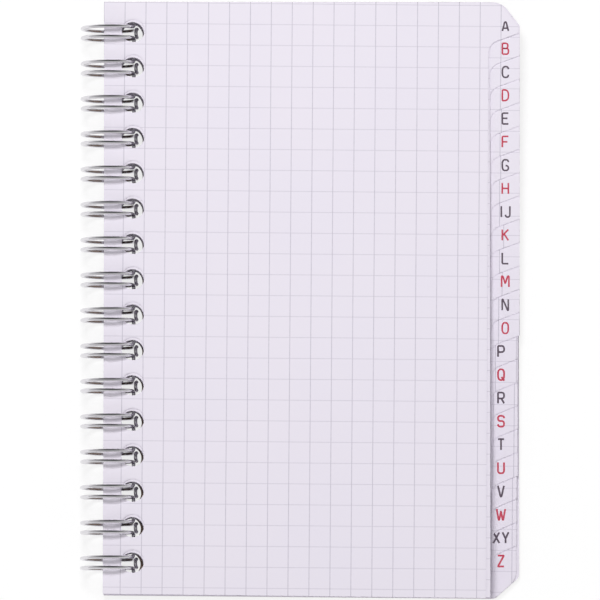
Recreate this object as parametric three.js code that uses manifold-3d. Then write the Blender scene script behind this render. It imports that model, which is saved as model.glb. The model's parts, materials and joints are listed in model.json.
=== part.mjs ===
// Indexed notebook on a twin-loop wire, open at its first leaf with the front cover turned under.
// Millimetres. +Y runs up the page, +X from the wire towards the tabs, +Z out of the page.
// Each piece is drawn about the axis of the wire rings, then the book is laid on the table.

import * as THREE from 'three';
import { mergeVertices } from 'three/addons/utils/BufferGeometryUtils.js';
import Module from 'manifold-3d';

const wasm = await Module();
wasm.setup();

// Leaves
const SHEET_HEIGHT = 142.5;
const SHEET_WIDTH = 92.2;
const LEAF_THICKNESS = 0.08;
const LEAVES_PER_SECTION = 4;
const SECTION_COUNT = 24;

// Step-cut index tabs on the fore edge
const TAB_DEPTH = 7.2;
const FIRST_TAB_LENGTH = 7.2;
const LAST_TAB_LENGTH = 12.7;
const TAB_SLOPE = THREE.MathUtils.degToRad(20);
const TAB_FILLET_RADIUS = 2.4;

// Corners of the fore edge, cut on a flat arc
const CORNER_WIDTH = 6;
const CORNER_HEIGHT = 5.6;
const CORNER_RADIUS = 9;

// Punched holes
const HOLE_DIAMETER = 5.5;
const HOLE_TO_EDGE = 3.95;
const HOLE_PAST_RING = 1.2;
const END_MARGIN = 7;
const HOLES_TOWARDS_HEAD = 0.45;

// Covers
const BACK_COVER_THICKNESS = 0.7;
const FRONT_COVER_THICKNESS = 0.4;
const BACK_COVER_CLEARANCE = 0.3;
const FRONT_COVER_CLEARANCE = 0.35;

// Twin-loop wire, three loops to the inch
const WIRE_DIAMETER = 0.85;
const WIRE_PITCH = 25.4 / 3;
const RING_PLAY = 2.85;
const BAR_ANGLE = THREE.MathUtils.degToRad(27);
const TIP_ANGLE = THREE.MathUtils.degToRad(8);
const ROOT_SPACING = 2.6;
const TIP_SPACING = 1.9;
const BEND_RADIUS = 0.75;
const CHANNEL_CLEARANCE = 0.25;
const WIRE_HOLE_CLEARANCE = 0.25;

// Facets
const WIRE_SIDES = 6;
const STRAND_STEPS = 16;
const TIP_STEPS = 5;
const BEND_STEPS = 3;
const HOLE_SEGMENTS = 8;
const ARC_SEGMENTS = 5;

// The ring is as large as the whole stack needs to turn freely in it.
const sectionThickness = LEAVES_PER_SECTION * LEAF_THICKNESS;
const blockThickness = SECTION_COUNT * sectionThickness;
const coverStack = BACK_COVER_CLEARANCE + BACK_COVER_THICKNESS + FRONT_COVER_CLEARANCE + FRONT_COVER_THICKNESS;
const wireRadius = WIRE_DIAMETER / 2;
const ringInnerRadius = (blockThickness + coverStack + RING_PLAY) / 2;
const ringRadius = ringInnerRadius + wireRadius;
const ringOuterRadius = ringRadius + wireRadius;

// The wire's bars lie under the first section, which sets how high the block hangs in the rings.
const barX = ringRadius * Math.cos(BAR_ANGLE);
const barZ = ringRadius * Math.sin(BAR_ANGLE);
const channelTop = barZ + wireRadius + CHANNEL_CLEARANCE;
const channelBottom = barZ - wireRadius - CHANNEL_CLEARANCE;
const blockTop = channelTop + sectionThickness;
const blockBottom = blockTop - blockThickness;
const backCoverTop = blockBottom - BACK_COVER_CLEARANCE;
const backCoverBottom = backCoverTop - BACK_COVER_THICKNESS;
const frontCoverTop = backCoverBottom - FRONT_COVER_CLEARANCE;
const frontCoverBottom = frontCoverTop - FRONT_COVER_THICKNESS;

// One hole to each loop. The row of holes is punched a little above the page's middle.
const holeRadius = HOLE_DIAMETER / 2;
const loopCount = Math.floor((SHEET_HEIGHT - 2 * END_MARGIN) / WIRE_PITCH) + 1;
const firstLoop = HOLES_TOWARDS_HEAD + ((loopCount - 1) / 2) * WIRE_PITCH;
const loopCentres = Array.from({ length: loopCount }, (_, i) => firstLoop - i * WIRE_PITCH);
const pageTop = SHEET_HEIGHT / 2;
const pageBottom = -pageTop;

// A sheet low in the rings is pushed towards the spine until its holes clear the wire.
function holeCentreAt(underside) {
  const freeCentre = ringOuterRadius + HOLE_PAST_RING - holeRadius;
  const wireX = Math.sqrt(ringInnerRadius ** 2 - underside ** 2);
  const strandReach = (ROOT_SPACING + WIRE_DIAMETER) / 2;
  const holeReach = Math.sqrt(holeRadius ** 2 - strandReach ** 2);
  return Math.min(freeCentre, wireX + holeReach - WIRE_HOLE_CLEARANCE);
}

function edgesAt(underside) {
  const holeX = holeCentreAt(underside);
  const left = holeX - holeRadius - HOLE_TO_EDGE;
  const trimmed = left + SHEET_WIDTH;
  return { holeX, left, trimmed, tab: trimmed + TAB_DEPTH };
}

// Draws a bulging arc of a given radius from the shape's current point to an end point.
function arcTo(shape, endX, endY, radius) {
  const start = shape.currentPoint.clone();
  const end = new THREE.Vector2(endX, endY);
  const chord = end.clone().sub(start);
  const rise = Math.sqrt(radius ** 2 - chord.lengthSq() / 4);
  const inward = new THREE.Vector2(-chord.y, chord.x).normalize();
  const centre = start.clone().add(end).multiplyScalar(0.5).addScaledVector(inward, rise);
  const from = start.sub(centre).angle();
  const to = end.sub(centre).angle();
  shape.absarc(centre.x, centre.y, radius, from, to, false);
}

function lowerCorner(shape, edges) {
  shape.lineTo(edges.tab - CORNER_WIDTH, pageBottom);
  arcTo(shape, edges.tab, pageBottom + CORNER_HEIGHT, CORNER_RADIUS);
}

function upperCorner(shape, edges) {
  shape.lineTo(edges.tab, pageTop - CORNER_HEIGHT);
  arcTo(shape, edges.tab - CORNER_WIDTH, pageTop, CORNER_RADIUS);
}

// The step: up the trimmed edge, round a hollow fillet and out along the slope to the tab's edge.
function tabStep(shape, edges, stepY) {
  const inner = TAB_FILLET_RADIUS * Math.tan((Math.PI / 2 - TAB_SLOPE) / 2);
  const meetY = stepY - TAB_DEPTH * Math.tan(TAB_SLOPE);
  const centreX = edges.trimmed + TAB_FILLET_RADIUS;
  shape.lineTo(edges.trimmed, pageBottom);
  shape.lineTo(edges.trimmed, meetY - inner);
  shape.absarc(centreX, meetY - inner, TAB_FILLET_RADIUS, Math.PI, Math.PI / 2 + TAB_SLOPE, true);
  shape.lineTo(edges.tab, stepY);
}

// The height at which a section's tab ends, from the first section down to the last but one.
function stepHeight(section) {
  const pitch = (SHEET_HEIGHT - FIRST_TAB_LENGTH - LAST_TAB_LENGTH) / (SECTION_COUNT - 2);
  return pageTop - FIRST_TAB_LENGTH - section * pitch;
}

function sectionShape(section, edges) {
  const shape = new THREE.Shape();
  shape.moveTo(edges.left, pageBottom);
  if (section === SECTION_COUNT - 1) {
    lowerCorner(shape, edges);
  } else {
    tabStep(shape, edges, stepHeight(section));
  }
  upperCorner(shape, edges);
  shape.lineTo(edges.left, pageTop);
  shape.closePath();
  return shape;
}

function coverShape(edges) {
  const shape = new THREE.Shape();
  shape.moveTo(edges.left, pageBottom);
  lowerCorner(shape, edges);
  upperCorner(shape, edges);
  shape.lineTo(edges.left, pageTop);
  shape.closePath();
  shape.holes = loopCentres.map((y) => holePath(new THREE.Path(), edges.holeX, y));
  return shape;
}

function holePath(path, x, y) {
  path.absarc(x, y, holeRadius, 0, 2 * Math.PI, false);
  return path;
}

function slab(shape, bottom, thickness, curveSegments = ARC_SEGMENTS) {
  const geometry = new THREE.ExtrudeGeometry(shape, { depth: thickness, bevelEnabled: false, curveSegments });
  return geometry.translate(0, 0, bottom);
}

function toSolid(geometry) {
  const bare = geometry.clone();
  bare.deleteAttribute('normal');
  bare.deleteAttribute('uv');
  const merged = mergeVertices(bare, 1e-4);
  const vertProperties = merged.attributes.position.array;
  const triVerts = new Uint32Array(merged.index.array);
  return new wasm.Manifold(new wasm.Mesh({ numProp: 3, vertProperties, triVerts }));
}

function toGeometry(solid) {
  const mesh = solid.getMesh();
  const geometry = new THREE.BufferGeometry();
  geometry.setAttribute('position', new THREE.BufferAttribute(new Float32Array(mesh.vertProperties), 3));
  geometry.setIndex(new THREE.BufferAttribute(new Uint32Array(mesh.triVerts), 1));
  geometry.computeVertexNormals();
  return geometry;
}

// The leaves as one block, punched, and parted where the wire's bars lie. Each section is wider
// than the one above it by a tab, so each outline is raised from the bottom to its own top.
function pageBlock() {
  const edges = edgesAt(blockBottom);
  let block = toSolid(slab(sectionShape(0, edges), blockBottom, blockThickness));
  for (let section = 1; section < SECTION_COUNT; section += 1) {
    const height = blockThickness - section * sectionThickness;
    block = block.add(toSolid(slab(sectionShape(section, edges), blockBottom, height)));
  }
  for (const y of loopCentres) {
    const hole = holePath(new THREE.Shape(), edges.holeX, y);
    const punch = slab(hole, blockBottom - 1, blockThickness + 2, HOLE_SEGMENTS);
    block = block.subtract(toSolid(punch));
  }
  const channelWidth = WIRE_DIAMETER + 2 * CHANNEL_CLEARANCE;
  const channelLength = loopCount * WIRE_PITCH + 2 * CHANNEL_CLEARANCE;
  const channel = new THREE.BoxGeometry(channelWidth, channelLength, channelTop - channelBottom);
  channel.translate(barX, HOLES_TOWARDS_HEAD, (channelTop + channelBottom) / 2);
  return toGeometry(block.subtract(toSolid(channel)));
}

function cover(bottom, thickness) {
  return slab(coverShape(edgesAt(bottom)), bottom, thickness, HOLE_SEGMENTS);
}

// The comb bent flat: x runs round the ring from the bars to the tips, y runs along the spine.
function flatComb() {
  const tipX = ringRadius * (2 * Math.PI + TIP_ANGLE - BAR_ANGLE);
  const points = [];
  const run = (curve, steps) => {
    for (let i = 0; i < steps; i += 1) points.push(curve.getPoint(i / steps));
  };
  const quarter = Math.PI / 2;
  for (const y of loopCentres) {
    const root = ROOT_SPACING / 2;
    const tip = TIP_SPACING / 2;
    const barEnd = root + BEND_RADIUS;
    const start = new THREE.Vector2(0, y + WIRE_PITCH / 2);
    const outer = new THREE.Vector2(0, y + barEnd);
    const rootOut = new THREE.Vector2(BEND_RADIUS, y + root);
    const tipOut = new THREE.Vector2(tipX, y + tip);
    const tipBack = new THREE.Vector2(tipX, y - tip);
    const rootBack = new THREE.Vector2(BEND_RADIUS, y - root);
    const inward = new THREE.EllipseCurve(BEND_RADIUS, y + barEnd, BEND_RADIUS, BEND_RADIUS, -2 * quarter, -quarter);
    const loopTip = new THREE.EllipseCurve(tipX, y, tip, tip, quarter, -quarter, true);
    const outward = new THREE.EllipseCurve(BEND_RADIUS, y - barEnd, BEND_RADIUS, BEND_RADIUS, quarter, 2 * quarter);
    run(new THREE.LineCurve(start, outer), 1);
    run(inward, BEND_STEPS);
    run(new THREE.LineCurve(rootOut, tipOut), STRAND_STEPS);
    run(loopTip, TIP_STEPS);
    run(new THREE.LineCurve(tipBack, rootBack), STRAND_STEPS);
    run(outward, BEND_STEPS);
    points.push(new THREE.Vector2(0, y - barEnd));
  }
  points.push(new THREE.Vector2(0, loopCentres[loopCount - 1] - WIRE_PITCH / 2));
  return points;
}

// The flat comb rolled round the ring, with one station at each of its points.
class RolledComb extends THREE.Curve {
  constructor(flatPoints) {
    super();
    this.stations = flatPoints.map((point) => {
      const angle = BAR_ANGLE + point.x / ringRadius;
      return new THREE.Vector3(ringRadius * Math.cos(angle), point.y, ringRadius * Math.sin(angle));
    });
  }

  get steps() {
    return this.stations.length - 1;
  }

  getPointAt(u) {
    return this.stations[Math.round(u * this.steps)].clone();
  }

  getTangentAt(u) {
    const i = Math.round(u * this.steps);
    const before = this.stations[Math.max(i - 1, 0)];
    const after = this.stations[Math.min(i + 1, this.steps)];
    return after.clone().sub(before).normalize();
  }
}

function twinLoopWire() {
  const comb = new RolledComb(flatComb());
  const corners = Array.from({ length: WIRE_SIDES }, (_, i) => {
    const angle = (2 * Math.PI * i) / WIRE_SIDES;
    return new THREE.Vector2(wireRadius * Math.cos(angle), wireRadius * Math.sin(angle));
  });
  return new THREE.ExtrudeGeometry(new THREE.Shape(corners), { steps: comb.steps, extrudePath: comb });
}

const paper = new THREE.MeshStandardMaterial({ color: 0xe9e4ee, roughness: 0.9, metalness: 0 });
const platedSteel = new THREE.MeshStandardMaterial({ color: 0xd5d5da, roughness: 0.22, metalness: 1 });
const greyboard = new THREE.MeshStandardMaterial({ color: 0x96877c, roughness: 0.95, metalness: 0 });
const card = new THREE.MeshStandardMaterial({ color: 0xe4e0e6, roughness: 0.7, metalness: 0 });

function piece(name, geometry, material) {
  const mesh = new THREE.Mesh(geometry, material);
  mesh.name = name;
  return mesh;
}

const book = new THREE.Group();
book.add(piece('twin_loop_wire', twinLoopWire(), platedSteel));
book.add(piece('page_block', pageBlock(), paper));
book.add(piece('back_cover', cover(backCoverBottom, BACK_COVER_THICKNESS), greyboard));
book.add(piece('front_cover', cover(frontCoverBottom, FRONT_COVER_THICKNESS), card));

// The rings are thicker than the book, so it lies on them and on the front cover's far edge.
const farEdge = edgesAt(frontCoverBottom).tab;
const farReach = Math.hypot(farEdge, frontCoverBottom);
book.rotation.y = Math.asin(ringOuterRadius / farReach) - Math.atan2(-frontCoverBottom, farEdge);
book.updateMatrixWorld(true);

const lying = new THREE.Box3().setFromObject(book, true);
const middle = lying.getCenter(new THREE.Vector3());
book.position.set(-middle.x, -middle.y, -lying.min.z);

const notebook = new THREE.Group();
notebook.add(book);

export default notebook;
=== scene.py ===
# %% [markdown]
# # An indexed notebook on a twin-loop wire
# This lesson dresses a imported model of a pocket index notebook. The book lies open at its first
# leaf, with its front cover turned under. The frame gives where the rings' axis runs and how far
# the book leans, and every new piece is drawn in the book's own millimetres and then laid there.

# %% Load the frame
import json
import math
import random

import bmesh
import bpy
from mathutils import Matrix, Vector


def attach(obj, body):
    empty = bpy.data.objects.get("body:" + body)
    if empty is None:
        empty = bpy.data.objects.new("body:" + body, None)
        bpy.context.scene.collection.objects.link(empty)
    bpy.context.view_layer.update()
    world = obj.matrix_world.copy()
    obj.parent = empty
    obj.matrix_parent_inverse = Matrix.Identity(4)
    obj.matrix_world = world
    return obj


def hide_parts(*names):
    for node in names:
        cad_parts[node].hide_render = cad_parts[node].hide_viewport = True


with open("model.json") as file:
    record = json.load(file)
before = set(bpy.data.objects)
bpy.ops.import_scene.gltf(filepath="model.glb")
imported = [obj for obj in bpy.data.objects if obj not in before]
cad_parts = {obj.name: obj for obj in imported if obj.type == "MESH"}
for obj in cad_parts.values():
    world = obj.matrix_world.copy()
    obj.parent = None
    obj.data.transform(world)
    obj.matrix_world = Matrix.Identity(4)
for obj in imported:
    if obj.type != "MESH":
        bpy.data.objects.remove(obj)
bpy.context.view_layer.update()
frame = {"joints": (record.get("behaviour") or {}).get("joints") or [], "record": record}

# %% [markdown]
# ## Where the book lies
# The rings are thicker than the book, so the book leans by about a degree towards its tabs. The
# hinge in the frame lies on the rings' axis, and the writing face's direction gives the lean.

# %% The book's own frame
MM = 0.001
joint = frame["joints"][0]
mounts = {mount["name"]: mount for mount in frame["record"]["mounts"]}
ring_axis = Vector(joint["pos_m"])
lean = math.asin(mounts["writing_face"]["axis"][0])
LAY = Matrix.Translation(ring_axis) @ Matrix.Rotation(lean, 4, "Y") @ Matrix.Scale(MM, 4)
print("rings' axis", ring_axis, "lean in degrees", round(math.degrees(lean), 3))

# %% Sizes of the real object, in millimetres
SHEET_HEIGHT = 142.5
SHEET_WIDTH = 92.2
SHEET_LEFT = -1.26
TAB_DEPTH = 7.2
FIRST_TAB_LENGTH = 7.2
LAST_TAB_LENGTH = 12.7
TAB_SLOPE = math.radians(20)
TAB_ROUND = 2.0
HOLE_DIAMETER = 5.5
HOLE_TO_EDGE = 3.95
SECTION_THICKNESS = 0.32
LEAF_PITCH = 0.062
LEAF_GAP = 0.006
LEAVES_PER_SECTION = 4
BLOCK_TOP = 3.98
WIRE_PITCH = 25.4 / 3
LOOP_COUNT = 16
HOLES_TOWARDS_HEAD = 0.45
TAB_NAMES = "A B C D E F G H IJ K L M N O P Q R S T U V W XY Z".split()

page_top = SHEET_HEIGHT / 2
page_bottom = -page_top
trimmed_edge = SHEET_LEFT + SHEET_WIDTH
tab_edge = trimmed_edge + TAB_DEPTH
hole_x = SHEET_LEFT + HOLE_TO_EDGE + HOLE_DIAMETER / 2
first_loop = HOLES_TOWARDS_HEAD + (LOOP_COUNT - 1) / 2 * WIRE_PITCH
loop_centres = [first_loop - i * WIRE_PITCH for i in range(LOOP_COUNT)]
tab_pitch = (SHEET_HEIGHT - FIRST_TAB_LENGTH - LAST_TAB_LENGTH) / (len(TAB_NAMES) - 2)
top_leaf_gap = SECTION_THICKNESS - LEAVES_PER_SECTION * LEAF_PITCH
print("tab pitch in mm", round(tab_pitch, 3), "loops", len(loop_centres))


# %% [markdown]
# ## Helpers
# A finished piece has its place in its mesh, so its object stays at the origin. One helper turns
# a bmesh in book millimetres into such an object and says which body carries it.

# %% From a bmesh to a piece
def finish_piece(name, bm, material, body="bound_block", smooth=False):
    bmesh.ops.transform(bm, matrix=LAY, verts=bm.verts)
    mesh = bpy.data.meshes.new(name)
    bm.to_mesh(mesh)
    bm.free()
    mesh.materials.append(material)
    mesh.polygons.foreach_set("use_smooth", [smooth] * len(mesh.polygons))
    piece = bpy.data.objects.new(name, mesh)
    bpy.context.scene.collection.objects.link(piece)
    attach(piece, body)
    return piece


# %% A node tree with short lines
class Nodes:
    def __init__(self, owner):
        owner.use_nodes = True
        self.owner = owner
        self.tree = owner.node_tree

    def add(self, kind, **settings):
        node = self.tree.nodes.new(kind)
        for key, value in settings.items():
            setattr(node, key, value)
        return node

    def link(self, source, target):
        self.tree.links.new(source, target)

    def feed(self, value, socket):
        """Links another node's output to a socket, or sets a plain value on it."""
        if isinstance(value, bpy.types.NodeSocket):
            self.link(value, socket)
        else:
            socket.default_value = value

    def maths(self, operation, *values):
        node = self.add("ShaderNodeMath", operation=operation)
        for socket, value in zip(node.inputs, values):
            self.feed(value, socket)
        return node.outputs[0]

    def noise(self, vector, scale, detail=3.0, roughness=0.5):
        node = self.add("ShaderNodeTexNoise")
        node.inputs["Scale"].default_value = scale
        node.inputs["Detail"].default_value = detail
        node.inputs["Roughness"].default_value = roughness
        self.link(vector, node.inputs["Vector"])
        return node.outputs["Fac"]

    def mix(self, factor, first, second):
        node = self.add("ShaderNodeMix", data_type="RGBA")
        # The colour sockets share their names with the node's other sockets, so they go by number.
        factor_in, first_in, second_in = node.inputs[0], node.inputs[6], node.inputs[7]
        self.feed(factor, factor_in)
        self.feed(first, first_in)
        self.feed(second, second_in)
        return node.outputs[2]

    def bump(self, height, distance, strength):
        node = self.add("ShaderNodeBump")
        node.inputs["Distance"].default_value = distance
        node.inputs["Strength"].default_value = strength
        self.link(height, node.inputs["Height"])
        self.link(node.outputs["Normal"], self.shader.inputs["Normal"])


def new_finish(name):
    n = Nodes(bpy.data.materials.new(name))
    n.shader = n.tree.nodes["Principled BSDF"]
    return n


def colour(red, green, blue):
    """A colour as it is read off a screen, from 0 to 255, made linear."""
    channels = [value / 255 for value in (red, green, blue)]
    linear = [c / 12.92 if c <= 0.04045 else ((c + 0.055) / 1.055) ** 2.4 for c in channels]
    return (*linear, 1.0)


# %% [markdown]
# ## Squared paper
# The paper is a pale lilac white with a five millimetre grid printed in thin lilac lines. Each
# leaf has its own print, never quite in line with the next, so the grid follows a UV map that is
# counted in squares, with a line at each whole number. A picture of a grid would do the same,
# but two rows of maths stay sharp at any distance. The cut edges sit in the middle of a square
# in that map and stay bare.

# %% The paper's finish
SQUARE = 5.0
LINE_WIDTH = 0.19
LEVEL_LINE_SHARE = 0.58
INK_LEAST = 0.6
INK_UNEVEN = 0.5
INK_SCALE = 1500
CLOUD_SCALE = 60
FIBRE_SCALE = 2600
PAPER = colour(240, 234, 244)
PAPER_CLOUD = colour(237, 232, 244)
LINE_INK = colour(199, 194, 207)


def squared_paper():
    n = new_finish("squared_paper")
    uv = n.add("ShaderNodeUVMap", uv_map="print").outputs[0]
    split = n.add("ShaderNodeSeparateXYZ")
    n.link(uv, split.inputs[0])
    place = n.add("ShaderNodeTexCoord").outputs["Object"]
    half_line = LINE_WIDTH / SQUARE / 2
    lines = []
    for axis in ("X", "Y"):
        off_line = n.maths("PINGPONG", split.outputs[axis], 0.5)
        lines.append(n.maths("LESS_THAN", off_line, half_line))
    level_line = n.maths("MULTIPLY", lines[1], LEVEL_LINE_SHARE)
    either = n.maths("MAXIMUM", lines[0], level_line)
    uneven = n.noise(place, INK_SCALE, detail=2.0)
    cover = n.maths("MULTIPLY_ADD", uneven, INK_UNEVEN, INK_LEAST)
    ink = n.maths("MULTIPLY", either, cover)
    cloud = n.noise(place, CLOUD_SCALE, detail=4.0)
    fibre = n.noise(place, FIBRE_SCALE, detail=5.0, roughness=0.65)
    sheet = n.mix(cloud, PAPER, PAPER_CLOUD)
    n.link(n.mix(ink, sheet, LINE_INK), n.shader.inputs["Base Color"])
    n.shader.inputs["Roughness"].default_value = 0.82
    n.shader.inputs["Specular IOR Level"].default_value = 0.3
    n.bump(fibre, distance=0.00002, strength=0.5)
    return n.owner


paper = squared_paper()
print("nodes in the paper's finish", len(paper.node_tree.nodes))


# %% [markdown]
# ## A leaf
# Each leaf is a flat outline, punched and given the thickness of paper. The outer corner is cut at
# an angle, so it starts as two corners, and bevelling eases each of them by its own amount.
# Bevelling the inner corner of the tab's step gives the hollow round that its die leaves. The
# guillotine cut the foot a little out of square, so it rises towards the wire.

# %% The outline of a leaf
CORNER_STEPS = 6
HEAD_CUT = (4.3, 5.6)
HEAD_EASES = (0.4, 2.0)
FOOT_CUT = (5.2, 4.6)
FOOT_EASES = (1.4, 1.9)
COVER_CUT = (5.8, 5.1)
COVER_EASES = (0.3, 0.8)
FOOT_SKEW = 0.75


def round_corners(bm, verts, offset):
    bmesh.ops.bevel(
        bm, geom=verts, offset=offset, offset_type="OFFSET", affect="VERTICES",
        segments=CORNER_STEPS, profile=0.5, material=-1,
    )


def leaf_outline(fore, tab, step_y=None, foot_short=0.0, foot_cut=FOOT_CUT, foot_eases=FOOT_EASES):
    """The flat outline of a leaf. With no step the tab runs down to the bottom edge."""
    bm = bmesh.new()

    def corner(x, y):
        return bm.verts.new((x, y, 0))

    head = [corner(tab, page_top - HEAD_CUT[1]), corner(tab - HEAD_CUT[0], page_top)]
    if step_y is None:
        foot = [corner(tab - foot_cut[0], page_bottom), corner(tab, page_bottom + foot_cut[1])]
        edge = foot
    else:
        inner = corner(fore, step_y - TAB_DEPTH * math.tan(TAB_SLOPE))
        edge = [corner(fore - foot_short, page_bottom), inner, corner(tab, step_y)]
    spine = [corner(SHEET_LEFT, page_top), corner(SHEET_LEFT, page_bottom + FOOT_SKEW)]
    bm.faces.new(spine + edge + head)
    for vert, ease in zip(head, HEAD_EASES):
        round_corners(bm, [vert], ease)
    if step_y is None:
        for vert, ease in zip(foot, foot_eases):
            round_corners(bm, [vert], ease)
    else:
        round_corners(bm, [inner], TAB_ROUND)
    return bm


# %% [markdown]
# The real sheet is punched with a row of round holes. A boolean could cut them, but it is slow on
# so many leaves and leaves thin slivers. Here the outline's face is taken away, a circle is drawn
# at each loop, and the space between all the edges is filled again, holes left open.

# %% Holes and thickness
HOLE_SEGMENTS = 32


def punch_and_thicken(bm, thickness, slide=(0.0, 0.0), turn=0.0, segments=HOLE_SEGMENTS):
    """Cuts the row of holes, slid and turned, in a flat outline, and thickens it upwards."""
    bmesh.ops.delete(bm, geom=list(bm.faces), context="FACES_ONLY")
    for y in loop_centres:
        place = Matrix.Translation((hole_x + slide[0], y + slide[1], 0))
        place = Matrix.Rotation(turn, 4, "Z") @ place
        bmesh.ops.create_circle(bm, radius=HOLE_DIAMETER / 2, segments=segments, matrix=place)
    bmesh.ops.triangle_fill(bm, edges=list(bm.edges), use_beauty=True, use_dissolve=False)
    grown = bmesh.ops.extrude_face_region(bm, geom=list(bm.faces), use_keep_orig=True)
    raised = [v for v in grown["geom"] if isinstance(v, bmesh.types.BMVert)]
    bmesh.ops.translate(bm, verts=raised, vec=(0, 0, thickness))
    bmesh.ops.recalc_face_normals(bm, faces=bm.faces)
    return bm


# %% [markdown]
# ## Twenty-four sections of leaves
# Each letter of the index has four leaves. One solid step for each letter would be lighter, but
# the fore edge would then be a smooth wall. So each leaf is a thin solid of its own, and the four
# of a section are poured into one piece. They hang loose on the wire, so each leaf is a little
# out of line, and the first leaf lies askew. The tabs of the lower sections are cut shorter. The
# last leaf is a plain endpaper with the covers' outline.

# %% How the leaves and their print lie, in millimetres
LEAF_SHAKE = 0.05
FIRST_LEAF_TURN = math.radians(-0.13)
FIRST_LEAF_SLIDE = -0.06
FIRST_LEAF_SHORT = 0.36
FIRST_LEAF_FOOT_SHORT = 0.48
FIRST_LEAF_LIFT = 0.1
FIRST_ROW = (0.2, 0.33)
OTHER_ROWS = (0.05, -0.33)
ENDPAPER_DROP = 0.18
PRINT_TURN = math.radians(-0.43)
PRINT_LEFT = 3.71
PRINT_TOP = 71.07
LOWEST = ["V", "W", "XY", "Z"]
TAB_SHORT = {**dict.fromkeys("PQRSTU", 0.45), **dict.fromkeys(LOWEST, 0.7)}
FORE_DRIFT = 0.018
BARE_PAPER = (0.5, 0.5)
LEVEL_FACE = 0.5
PRINT_SLIDE = {"E": 0.25, "G": 0.2, "K": 1.05, "L": 0.1, "M": 0.75, "P": -0.7, "Q": -0.65}
PRINT_SLIDE.update({**dict.fromkeys("RSTU", -1.1), **dict.fromkeys(LOWEST, -1.35)})
PRINT_DROP = {"A": 2.5, "B": 2.5, "D": -0.15, "H": -0.2, "IJ": 0.3, "K": -0.1, "M": 0.4, "N": 0.15}
PRINT_DROP.update({"R": 0.3, "S": 0.35, "T": 0.3, "V": 0.25, "W": 0.45, "XY": 0.1, "Z": 0.15})


# %% Printing and gathering leaves
def map_print(bm, left, top, printed=True):
    """Writes the print's UV map, in squares. Cut edges stay in the middle of a square."""
    layer = bm.loops.layers.uv.new("print")
    unturn = Matrix.Rotation(-PRINT_TURN, 2)
    for face in bm.faces:
        flat = printed and abs(face.normal.z) > LEVEL_FACE
        for loop in face.loops:
            point = unturn @ Vector((loop.vert.co.x - left, loop.vert.co.y - top))
            loop[layer].uv = point / SQUARE if flat else BARE_PAPER


def pour(source, target):
    """Adds the contents of one bmesh to another, and frees the first."""
    carrier = bpy.data.meshes.new("carrier")
    source.to_mesh(carrier)
    source.free()
    target.from_mesh(carrier)
    bpy.data.meshes.remove(carrier)


# %% A leaf and a section
def leaf(index, number, dice):
    """One leaf of a section, cut, laid out of line by a little, punched and printed."""
    name = TAB_NAMES[index]
    first = index + number == 0
    endpaper = (name, number) == (TAB_NAMES[-1], LEAVES_PER_SECTION - 1)
    step = None if name == TAB_NAMES[-1] else page_top - FIRST_TAB_LENGTH - index * tab_pitch
    shake = (dice.uniform(-LEAF_SHAKE, LEAF_SHAKE), dice.uniform(-LEAF_SHAKE, LEAF_SHAKE), 0)
    askew = Matrix.Translation(shake)
    row = OTHER_ROWS
    fore = trimmed_edge + FORE_DRIFT * index
    tab = tab_edge - TAB_SHORT.get(name, 0.0)
    if first:
        fore -= FIRST_LEAF_SHORT
        tab -= FIRST_LEAF_SHORT
        sheet = leaf_outline(fore, tab, step, FIRST_LEAF_FOOT_SHORT)
        askew = Matrix.Translation((FIRST_LEAF_SLIDE, 0, 0)) @ Matrix.Rotation(FIRST_LEAF_TURN, 4, "Z")
        row = FIRST_ROW
    elif endpaper:
        sheet = leaf_outline(fore, tab_edge, foot_cut=COVER_CUT, foot_eases=COVER_EASES)
    else:
        sheet = leaf_outline(fore, tab, step)
    bmesh.ops.transform(sheet, matrix=askew, verts=sheet.verts)
    punch_and_thicken(sheet, LEAF_PITCH - LEAF_GAP, row)
    underside = BLOCK_TOP - (index + 1) * SECTION_THICKNESS
    underside += (LEAVES_PER_SECTION - 1 - number) * LEAF_PITCH
    lift = top_leaf_gap * (number == 0) + FIRST_LEAF_LIFT * first - ENDPAPER_DROP * endpaper
    bmesh.ops.translate(sheet, verts=sheet.verts, vec=(0, 0, underside + lift))
    drop = 0.0 if first else PRINT_DROP.get(name, 0.0)
    map_print(sheet, PRINT_LEFT + PRINT_SLIDE.get(name, 0.0), PRINT_TOP - drop, not endpaper)
    return sheet


def section_piece(index, dice):
    section = bmesh.new()
    for number in range(LEAVES_PER_SECTION):
        pour(leaf(index, number, dice), section)
    piece = finish_piece("section_" + TAB_NAMES[index], section, paper)
    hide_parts("page_block")
    return piece


dice = random.Random(16)
sections = [section_piece(index, dice) for index in range(len(TAB_NAMES))]
print("sections", len(sections), "faces in one", len(sections[0].data.polygons))

# %% [markdown]
# ## Greyboard and card
# The back cover is a stiff grey-brown board of pressed waste fibre. It is cut a hair shorter than
# the pale endpaper above it, so from above it shows only through the holes. The front cover is a
# smooth pale card, turned round on the rings so that it lies under the board, with its holes a
# little off the leaves' so that it swings clear of the wire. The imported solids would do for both,
# but their holes must line up with the leaves', so one helper cuts them from the leaf's outline
# and bevels their cut edges by a hair.

# %% The boards' finishes
BOARD = colour(190, 168, 152)
BOARD_DARK = colour(174, 152, 138)
BOARD_FLECK = colour(208, 192, 178)
PULP_SCALE = 420
FLECK_SCALE = 1900
FLECK_LIMIT = 0.66
CARD = colour(228, 224, 230)
CARD_CLOUD = colour(221, 217, 224)
CARD_CLOUD_SCALE = 90
CARD_TOOTH_SCALE = 1800


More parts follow.
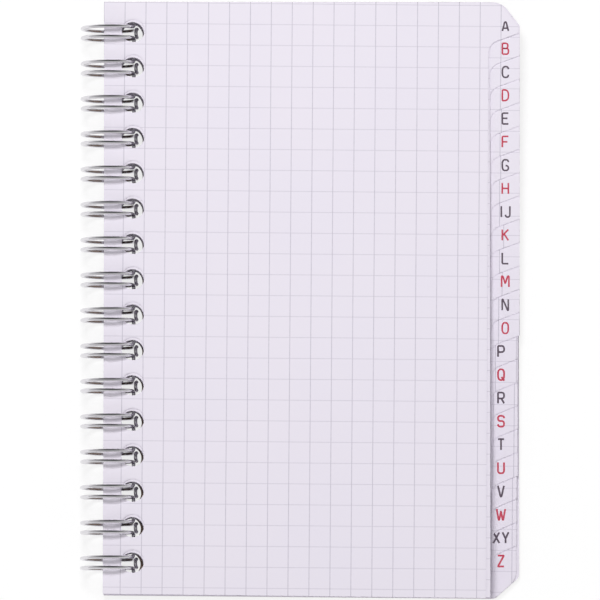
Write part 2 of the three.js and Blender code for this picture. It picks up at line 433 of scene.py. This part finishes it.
def board_finish():
    n = new_finish("greyboard")
    place = n.add("ShaderNodeTexCoord").outputs["Object"]
    pulp = n.noise(place, PULP_SCALE, detail=6.0, roughness=0.7)
    fleck = n.noise(place, FLECK_SCALE, detail=3.0, roughness=0.6)
    base = n.mix(pulp, BOARD, BOARD_DARK)
    speck = n.maths("GREATER_THAN", fleck, FLECK_LIMIT)
    n.link(n.mix(speck, base, BOARD_FLECK), n.shader.inputs["Base Color"])
    n.shader.inputs["Roughness"].default_value = 0.92
    n.shader.inputs["Specular IOR Level"].default_value = 0.2
    n.bump(pulp, distance=0.00006, strength=0.7)
    return n.owner


def card_finish():
    n = new_finish("white_card")
    place = n.add("ShaderNodeTexCoord").outputs["Object"]
    cloud = n.noise(place, CARD_CLOUD_SCALE, detail=4.0)
    tooth = n.noise(place, CARD_TOOTH_SCALE, detail=4.0)
    n.link(n.mix(cloud, CARD, CARD_CLOUD), n.shader.inputs["Base Color"])
    n.shader.inputs["Roughness"].default_value = 0.55
    n.bump(tooth, distance=0.00002, strength=0.5)
    return n.owner


greyboard = board_finish()
white_card = card_finish()

# %% The two covers
BACK_TOP = -4.0
BACK_THICKNESS = 0.7
BACK_SHORT = 0.4
BACK_ROW_TURN = math.radians(-0.42)
BACK_ROW_SLIDE = -0.2
FRONT_TOP = -5.05
FRONT_THICKNESS = 0.4
FRONT_SHORT = 0.73
FRONT_ROW_SLIDE = -0.27
COVER_HOLE_SEGMENTS = 48
RIM_ANGLE = 1.0
RIM_EASE = 0.06


def cover_piece(name, node, material, body, top, thickness, short, row_slide, row_turn=0.0):
    cover = leaf_outline(trimmed_edge, tab_edge - short, foot_cut=COVER_CUT, foot_eases=COVER_EASES)
    punch_and_thicken(cover, thickness, (row_slide, 0.0), row_turn, COVER_HOLE_SEGMENTS)
    rim = [e for e in cover.edges if e.is_manifold and e.calc_face_angle(0) > RIM_ANGLE]
    bmesh.ops.bevel(
        cover, geom=rim, offset=RIM_EASE, offset_type="OFFSET", affect="EDGES",
        segments=2, profile=0.5, material=-1,
    )
    bmesh.ops.translate(cover, verts=cover.verts, vec=(0, 0, top - thickness))
    piece = finish_piece(name, cover, material, body)
    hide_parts(node)
    return piece


back = cover_piece(
    "back_board", "back_cover", greyboard, "bound_block",
    BACK_TOP, BACK_THICKNESS, BACK_SHORT, BACK_ROW_SLIDE, BACK_ROW_TURN,
)
front = cover_piece(
    "front_card", "front_cover", white_card, "turned_cover",
    FRONT_TOP, FRONT_THICKNESS, FRONT_SHORT, FRONT_ROW_SLIDE,
)
print("faces in the covers", len(back.data.polygons), len(front.data.polygons))

# %% [markdown]
# ## The twin-loop wire
# The wire is one length of plated steel. It is first bent flat into a comb of narrow teeth and
# then rolled until the tips of the teeth meet the bars. Rings drawn one by one would look alike
# from afar, but the bars that join them would be missing. So the script works as the maker does:
# it lays out the flat comb, rolls each point round the ring and lets a curve sweep the round
# section along.

# %% The comb
WIRE_DIAMETER = 0.85
RING_RADIUS = 6.565
BAR_ANGLE = math.radians(27)
TIP_ANGLE = math.radians(8)
ROOT_SPACING = 2.6
TIP_SPACING = 1.9
BEND_RADIUS = 0.75
STRAND_STEPS = 54
TIP_STEPS = 14
BEND_STEPS = 9


def arc_points(x, y, radius, start, end, steps):
    angles = [start + (end - start) * i / steps for i in range(steps)]
    return [(x + radius * math.cos(a), y + radius * math.sin(a)) for a in angles]


def line_points(start, end, steps):
    return [tuple(s + (e - s) * i / steps for s, e in zip(start, end)) for i in range(steps)]


def flat_comb():
    points = []
    quarter = math.pi / 2
    tip_x = RING_RADIUS * (2 * math.pi + TIP_ANGLE - BAR_ANGLE)
    root = ROOT_SPACING / 2
    tip = TIP_SPACING / 2
    bar_end = root + BEND_RADIUS
    for y in loop_centres:
        points.append((0.0, y + WIRE_PITCH / 2))
        points += arc_points(BEND_RADIUS, y + bar_end, BEND_RADIUS, 2 * quarter, 3 * quarter, BEND_STEPS)
        points += line_points((BEND_RADIUS, y + root), (tip_x, y + tip), STRAND_STEPS)
        points += arc_points(tip_x, y, tip, quarter, -quarter, TIP_STEPS)
        points += line_points((tip_x, y - tip), (BEND_RADIUS, y - root), STRAND_STEPS)
        points += arc_points(BEND_RADIUS, y - bar_end, BEND_RADIUS, quarter, 2 * quarter, BEND_STEPS)
        points.append((0.0, y - bar_end))
    points.append((0.0, loop_centres[-1] - WIRE_PITCH / 2))
    return points


def rolled(point):
    angle = BAR_ANGLE + point[0] / RING_RADIUS
    return Vector((RING_RADIUS * math.cos(angle), point[1], RING_RADIUS * math.sin(angle)))


# %% [markdown]
# The plating is bright and nearly mirror-like, with a faint haze. The same roughness all over
# would look too perfect, so a fine noise makes the haze a little uneven from place to place.

# %% The wire's finish
WIRE_COLOUR = colour(222, 220, 224)
HAZE_SCALE = 700
ROUGH_LEAST = 0.12
ROUGH_UNEVEN = 0.12


def wire_finish():
    n = new_finish("plated_wire")
    place = n.add("ShaderNodeTexCoord").outputs["Object"]
    haze = n.noise(place, HAZE_SCALE)
    n.shader.inputs["Base Color"].default_value = WIRE_COLOUR
    n.shader.inputs["Metallic"].default_value = 1.0
    rough = n.maths("MULTIPLY_ADD", haze, ROUGH_UNEVEN, ROUGH_LEAST)
    n.link(rough, n.shader.inputs["Roughness"])
    n.bump(haze, distance=0.00001, strength=0.3)
    return n.owner


# %% [markdown]
# Drawn wire is round from end to end. No bmesh operator carries a section along a path in space,
# and spinning each bend by itself would leave seams. So a curve with a round bevel makes the
# tube, and its mesh goes on as a bmesh, with the doubles merged and the faces turned outwards.

# %% Sweeping the round section
WELD_DISTANCE = 1e-5


def sweep(name, paths, radius, resolution=3):
    """Sweeps a round section along paths of points and returns the mesh as a bmesh."""
    curve = bpy.data.curves.new(name, "CURVE")
    curve.dimensions = "3D"
    curve.bevel_depth = radius
    curve.bevel_resolution = resolution
    curve.use_fill_caps = True
    for path in paths:
        spline = curve.splines.new("POLY")
        spline.points.add(len(path) - 1)
        for point, place in zip(spline.points, path):
            point.co = (*place, 1.0)
    holder = bpy.data.objects.new(name, curve)
    mesh = bpy.data.meshes.new_from_object(holder)
    bm = bmesh.new()
    bm.from_mesh(mesh)
    bpy.data.objects.remove(holder)
    bpy.data.curves.remove(curve)
    bpy.data.meshes.remove(mesh)
    bmesh.ops.remove_doubles(bm, verts=bm.verts, dist=WELD_DISTANCE)
    bmesh.ops.recalc_face_normals(bm, faces=bm.faces)
    return bm


plated_wire = wire_finish()
comb = sweep("comb", [[rolled(point) for point in flat_comb()]], WIRE_DIAMETER / 2)
wire = finish_piece("wire_comb", comb, plated_wire, smooth=True)
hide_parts("twin_loop_wire")
print("wire faces", len(wire.data.polygons))

# %% [markdown]
# ## Letters on the tabs
# The index runs from A to Z in a plain round-cornered stroke, dark grey and red by turns. A text
# object could set it, but the built-in font is heavier and its strokes end square. So each letter
# is a few strokes in a box one unit wide and one high, with the radius of its corners in
# millimetres. A helper rounds the corners, the sweep gives the strokes their width, and pressing
# them flat leaves a film of ink.

# %% The strokes
LETTER_WIDTH = 1.45
LETTER_HEIGHT = 2.6
STROKE_WIDTH = 0.4
LOW_STROKE_WIDTH = 0.44
STEM = [(0, 0), (0, 1)]
GLYPHS = {
    "A": (0.3, [[(0, -0.02), (0.38, 0.82), (0.62, 0.82), (1, -0.02)], [(0.15, 0.24), (0.85, 0.24)]]),
    "B": (0.6, [STEM, [(0, 1), (0.9, 1), (0.9, 0.53), (0, 0.53)], [(0, 0.53), (1, 0.53), (1, 0), (0, 0)]]),
    "C": (1.05, [[(1, 0.75), (1, 1), (0, 1), (0, 0), (1, 0), (1, 0.25)]]),
    "D": (1.05, [STEM, [(0, 1), (1, 1), (1, 0), (0, 0)]]),
    "E": (0.3, [[(1, 1), (0, 1), (0, 0), (1, 0)], [(0, 0.52), (0.85, 0.52)]]),
    "F": (0.3, [[(1, 1), (0, 1), (0, 0)], [(0, 0.5), (0.85, 0.5)]]),
    "G": (1.0, [[(1, 0.78), (1, 1), (0, 1), (0, 0), (1, 0), (1, 0.45), (0.55, 0.45)]]),
    "H": (0.0, [STEM, [(1, 0), (1, 1)], [(0, 0.5), (1, 0.5)]]),
    "I": (0.0, [[(0.5, 0), (0.5, 1)]]),
    "J": (0.7, [[(0.9, 1), (0.9, 0), (0, 0), (0, 0.22)]]),
    "K": (0.0, [STEM, [(1, 1), (0, 0.42)], [(0.3, 0.6), (1, 0)]]),
    "L": (0.3, [[(0, 1), (0, 0), (1, 0)]]),
    "M": (0.25, [[(-0.1, 0), (-0.1, 1), (0.1, 1), (0.5, 0.3), (0.9, 1), (1.1, 1), (1.1, 0)]]),
    "N": (0.2, [[(0, 0), (0, 1), (0.12, 1), (0.88, 0), (1, 0), (1, 1)]]),
    "O": (1.1, [[(0.5, 1), (0, 1), (0, 0), (1, 0), (1, 1), (0.5, 1)]]),
    "P": (0.65, [STEM, [(0, 1), (1, 1), (1, 0.43), (0, 0.43)]]),
    "Q": (1.1, [[(0.5, 1), (0, 1), (0, 0), (1, 0), (1, 1), (0.5, 1)], [(0.55, 0.28), (1.05, -0.05)]]),
    "R": (0.65, [STEM, [(0, 1), (1, 1), (1, 0.45), (0, 0.45)], [(0.55, 0.45), (1, 0)]]),
    "S": (0.65, [[(1, 0.78), (1, 1), (0, 1), (0, 0.52), (1, 0.52), (1, 0), (0, 0), (0, 0.22)]]),
    "T": (0.0, [[(0, 1), (1, 1)], [(0.5, 1), (0.5, 0)]]),
    "U": (0.7, [[(0, 1), (0, 0), (1, 0), (1, 1)]]),
    "V": (0.15, [[(0, 1), (0.42, 0), (0.58, 0), (1, 1)]]),
    "W": (0.15, [[(-0.2, 1), (0.12, 0), (0.22, 0), (0.5, 0.8), (0.78, 0), (0.88, 0), (1.2, 1)]]),
    "X": (0.0, [[(0, 0), (1, 1)], [(0, 1), (1, 0)]]),
    "Y": (0.1, [[(0, 1), (0.5, 0.42), (1, 1)], [(0.5, 0.42), (0.5, 0)]]),
    "Z": (0.15, [[(0, 1), (1, 1), (0, 0), (1, 0)]]),
}


def rounded(path, radius, steps=6):
    """Rounds the inner corners of a path, no more than the lines beside them allow."""
    if radius == 0.0:
        return path
    points = [path[0]]
    for before, corner, after in zip(path, path[1:], path[2:]):
        back, ahead = before - corner, after - corner
        room_back = back.length if before is path[0] else back.length / 2
        room_ahead = ahead.length if after is path[-1] else ahead.length / 2
        start = corner + back.normalized() * min(radius, room_back)
        end = corner + ahead.normalized() * min(radius, room_ahead)
        for i in range(steps + 1):
            t = i / steps
            points.append(start * (1 - t) ** 2 + corner * 2 * t * (1 - t) + end * t ** 2)
    points.append(path[-1])
    return points


# %% [markdown]
# Each letter is printed on the tab of its section's first leaf. A picture on the leaf would need a
# UV map of its own and would blur close up, so the film of ink lies on the paper instead. The
# letters from P on stand nearer the wire, in the middle of their shorter tabs.

# %% Setting the letters
LETTER_X = 94.72
LOW_LETTER_X = 93.73
FIRST_LETTER_Y = 65.67
LETTER_PITCH = 5.563
LETTER_GAP = 0.75
NARROW_LETTERS = {"I": 0.35, "J": 0.8}


def letter_paths(text, centre_x, centre_y):
    widths = [LETTER_WIDTH * NARROW_LETTERS.get(letter, 1.0) for letter in text]
    pen = centre_x - (sum(widths) + LETTER_GAP * (len(text) - 1)) / 2
    paths = []
    for letter, width in zip(text, widths):
        radius, strokes = GLYPHS[letter]
        for stroke in strokes:
            path = [Vector((pen + x * width, centre_y + (y - 0.5) * LETTER_HEIGHT, 0)) for x, y in stroke]
            paths.append(rounded(path, radius))
        pen += width + LETTER_GAP
    return paths


# %% The two inks
INK_PATCH_SCALE = 3200


def ink_finish(name, ink, ink_thin):
    n = new_finish(name)
    place = n.add("ShaderNodeTexCoord").outputs["Object"]
    patch = n.noise(place, INK_PATCH_SCALE)
    n.link(n.mix(patch, ink, ink_thin), n.shader.inputs["Base Color"])
    n.shader.inputs["Roughness"].default_value = 0.6
    n.shader.inputs["Specular IOR Level"].default_value = 0.3
    return n.owner


grey_ink = ink_finish("grey_ink", colour(88, 76, 88), colour(112, 102, 114))
red_ink = ink_finish("red_ink", colour(196, 62, 84), colour(210, 94, 112))


# %% Printing the letters
INK_FILM = 0.012
FIRST_LOW_TAB = TAB_NAMES.index("P")
GREY_TABS = "A C E G IJ L N P R T V XY".split()


def set_letters(name, ink, chosen):
    joined = bmesh.new()
    for index in chosen:
        text = TAB_NAMES[index]
        low = index >= FIRST_LOW_TAB
        x = LOW_LETTER_X if low else LETTER_X
        width = LOW_STROKE_WIDTH if low else STROKE_WIDTH
        paths = letter_paths(text, x, FIRST_LETTER_Y - index * LETTER_PITCH)
        film = sweep(text, paths, width / 2, resolution=1)
        top = BLOCK_TOP - index * SECTION_THICKNESS - LEAF_GAP + FIRST_LEAF_LIFT * (index == 0)
        press = Matrix.Translation((0, 0, top)) @ Matrix.Diagonal((1, 1, INK_FILM / width, 1))
        bmesh.ops.transform(film, matrix=press, verts=film.verts)
        pour(film, joined)
    piece = finish_piece(name, joined, ink)
    return piece


grey_indexes = [i for i, text in enumerate(TAB_NAMES) if text in GREY_TABS]
red_indexes = [i for i, text in enumerate(TAB_NAMES) if text not in GREY_TABS]
set_letters("grey_letters", grey_ink, grey_indexes)
set_letters("red_letters", red_ink, red_indexes)
print("tabs in grey", len(grey_indexes), "and in red", len(red_indexes))

# %% [markdown]
# ## Floor, light and camera
# The book lies on plain white. More light would turn a pale floor white too, but the pages would
# burn out first. So the floor glows to the camera and in reflections, and its own dim grey adds
# the rest, which the book's shadow takes away. All other rays see plain white card.

# %% Floor
FLOOR_SIDE = 6.0
FLOOR_GLOW = 0.78
FLOOR_SEEN = (0.24, 0.24, 0.24, 1.0)
FLOOR_CARD = (0.85, 0.85, 0.85, 1.0)
WHITE = (1.0, 1.0, 1.0, 1.0)
bpy.ops.mesh.primitive_plane_add(size=FLOOR_SIDE, location=(0, 0, 0))
floor = bpy.context.object
floor.name = "floor"
white = new_finish("white_floor")
ray = white.add("ShaderNodeLightPath")
seen = white.maths("MAXIMUM", ray.outputs["Is Camera Ray"], ray.outputs["Is Glossy Ray"])
seen = white.maths("MAXIMUM", seen, ray.outputs["Is Transmission Ray"])
white.link(white.mix(seen, FLOOR_CARD, FLOOR_SEEN), white.shader.inputs["Base Color"])
white.shader.inputs["Roughness"].default_value = 0.9
white.shader.inputs["Emission Color"].default_value = WHITE
white.link(white.maths("MULTIPLY", seen, FLOOR_GLOW), white.shader.inputs["Emission Strength"])
floor.data.materials.append(white.owner)

# %% [markdown]
# The wire is a mirror, so what it shows is the room. An even white room would leave it without
# form. This room is bright at the sides and dark straight overhead and past the head, and that
# draws the dark streak along each strand. The darkness is set by the angle between a direction
# and the darkest one.

# %% A room that darkens towards one direction
SKY_LEVEL = 0.71
DARKEST = Vector((0.1, 0.5, 0.86)).normalized()
HEAD_SIDE_FALL = 0.65
ROOM = ((0.0, 1.0), (0.3, 0.95), (0.5, 0.8), (0.7, 0.5), (0.88, 0.2), (1.0, 0.12))
room = Nodes(bpy.data.worlds.new("studio"))
bpy.context.scene.world = room.owner
toward = room.add("ShaderNodeTexCoord").outputs["Generated"]
near_darkest = room.add("ShaderNodeVectorMath", operation="DOT_PRODUCT")
room.link(toward, near_darkest.inputs[0])
near_darkest.inputs[1].default_value = DARKEST
ramp_node = room.add("ShaderNodeValToRGB")
ramp = ramp_node.color_ramp
while len(ramp.elements) < len(ROOM):
    ramp.elements.new(0.5)
for element, (place, level) in zip(ramp.elements, ROOM):
    element.position = place
    element.color = (level, level, level, 1.0)
room.link(near_darkest.outputs["Value"], ramp_node.inputs["Fac"])
axes = room.add("ShaderNodeSeparateXYZ")
room.link(toward, axes.inputs[0])
past_head = room.maths("MAXIMUM", axes.outputs["Y"], 0.0)
left_over = room.maths("SUBTRACT", 1.0, room.maths("MULTIPLY", past_head, HEAD_SIDE_FALL))
strength = room.maths("MULTIPLY", ramp_node.outputs["Color"], left_over)

# %% The room's light, and a white backdrop for the camera
background = room.tree.nodes["Background"]
room.link(room.maths("MULTIPLY", strength, SKY_LEVEL), background.inputs["Strength"])
background.inputs["Color"].default_value = WHITE
backdrop = room.add("ShaderNodeBackground")
backdrop.inputs["Color"].default_value = WHITE
choose = room.add("ShaderNodeMixShader")
room.link(room.add("ShaderNodeLightPath").outputs["Is Camera Ray"], choose.inputs[0])
room.link(background.outputs[0], choose.inputs[1])
room.link(backdrop.outputs[0], choose.inputs[2])
room.link(choose.outputs[0], room.tree.nodes["World Output"].inputs["Surface"])

# %% [markdown]
# A softbox hangs beyond the head of the page, so the page is a little brighter there and each
# loop of wire throws its shadow down the page. A weaker lamp straight overhead reaches down into
# the holes and on to the low tabs. Neither shows in the wire.

# %% Lamps
def square_lamp(name, location, side, watts):
    """A square lamp that faces the book, and shows neither to the camera nor in the wire."""
    data = bpy.data.lights.new(name, "AREA")
    data.shape = "SQUARE"
    data.size = side
    data.energy = watts
    lamp = bpy.data.objects.new(name, data)
    lamp.location = location
    lamp.rotation_euler = (-lamp.location).to_track_quat("-Z", "Y").to_euler()
    lamp.visible_camera = False
    lamp.visible_glossy = False
    bpy.context.scene.collection.objects.link(lamp)


square_lamp("softbox", location=(-0.1, 0.34, 0.85), side=0.2, watts=4.1)
square_lamp("overhead", location=(0.0, 0.1, 1.2), side=0.3, watts=1.95)
print("lamps", [item.name for item in bpy.data.lights])

# %% [markdown]
# The camera looks almost straight down, from a little below the foot of the page. A short lens
# would spread the page's corners, and an orthographic camera would take all depth out of the
# rings. So a long lens looks from far away.

# %% Camera
VIEW_DISTANCE = 2.6
VIEW_ELEVATION = math.radians(86)
FRAME_WIDTH = 0.1433
SENSOR = 36.0
CLIP_END = 20.0
LOOK_AT = Vector((0.0, -0.000275, 0.0105))
camera_data = bpy.data.cameras.new("camera")
camera_data.sensor_width = SENSOR
camera_data.lens = SENSOR * VIEW_DISTANCE / FRAME_WIDTH
camera_data.clip_end = CLIP_END
camera = bpy.data.objects.new("camera", camera_data)
view_from = Vector((0, -math.cos(VIEW_ELEVATION), math.sin(VIEW_ELEVATION)))
camera.location = LOOK_AT + VIEW_DISTANCE * view_from
camera.rotation_euler = (-view_from).to_track_quat("-Z", "Y").to_euler()
bpy.context.scene.collection.objects.link(camera)
bpy.context.scene.camera = camera
bpy.context.scene.view_settings.view_transform = "Standard"
print("lens in mm", round(camera_data.lens))
